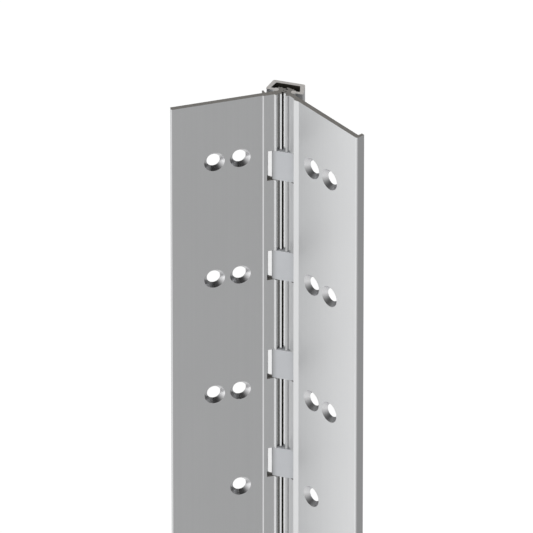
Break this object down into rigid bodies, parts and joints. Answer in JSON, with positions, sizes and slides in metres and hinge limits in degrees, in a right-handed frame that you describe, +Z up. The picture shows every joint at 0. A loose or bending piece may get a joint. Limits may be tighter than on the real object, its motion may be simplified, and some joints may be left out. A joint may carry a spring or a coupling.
{
  "type": "continuous geared hinge",
  "caption": "Continuous door hinge: extruded leaves mesh as gears inside a C-shaped cap, with countersunk screw holes and thrust bearing blocks in notches along the knuckle.",
  "frame": {"origin": "mid height of the frame leaf's seat, the flat back that lies on the door frame, halfway between the two columns of screw holes", "axes": "+Z up along the hinge; +Y from the leaf into the frame it is screwed to; +X from the frame leaf towards its gear. The front of the frame leaf faces -Y"},
  "size_m": [0.0936, 0.0674, 1.1334],
  "materials": {
    "anodised_aluminium": "clear satin anodised, sawn ends bare",
    "bearing_plastic": "smooth moulded acetal"
  },
  "bodies": {
    "frame_leaf": {"frame_leaf": "anodised_aluminium"},
    "cap": {"gear_cap": "anodised_aluminium", "bearing_01": "bearing_plastic", "bearing_02": "bearing_plastic", "bearing_03": "bearing_plastic", "bearing_04": "bearing_plastic", "bearing_05": "bearing_plastic", "bearing_06": "bearing_plastic", "bearing_07": "bearing_plastic", "bearing_08": "bearing_plastic", "bearing_09": "bearing_plastic", "bearing_10": "bearing_plastic", "bearing_11": "bearing_plastic", "bearing_12": "bearing_plastic", "bearing_13": "bearing_plastic", "bearing_14": "bearing_plastic", "bearing_15": "bearing_plastic", "bearing_16": "bearing_plastic", "bearing_17": "bearing_plastic"},
    "door_leaf": {"door_leaf": "anodised_aluminium"}
  },
  "joints": [
    {"name": "cap_swing", "type": "hinge", "parent": "frame_leaf", "child": "cap", "pos_m": [0.0287, 0.00147, 0], "axis": [0, 0, 1], "range_deg": [-57.5, 32.5]},
    {"name": "door_swing", "type": "hinge", "parent": "cap", "child": "door_leaf", "pos_m": [0.0372, -0.00395, 0], "axis": [0, 0, 1], "range_deg": [-57.5, 32.5]}
  ],
  "couplings": [
    {"joint": "door_swing", "follows": "cap_swing", "ratio": 1}
  ]
}
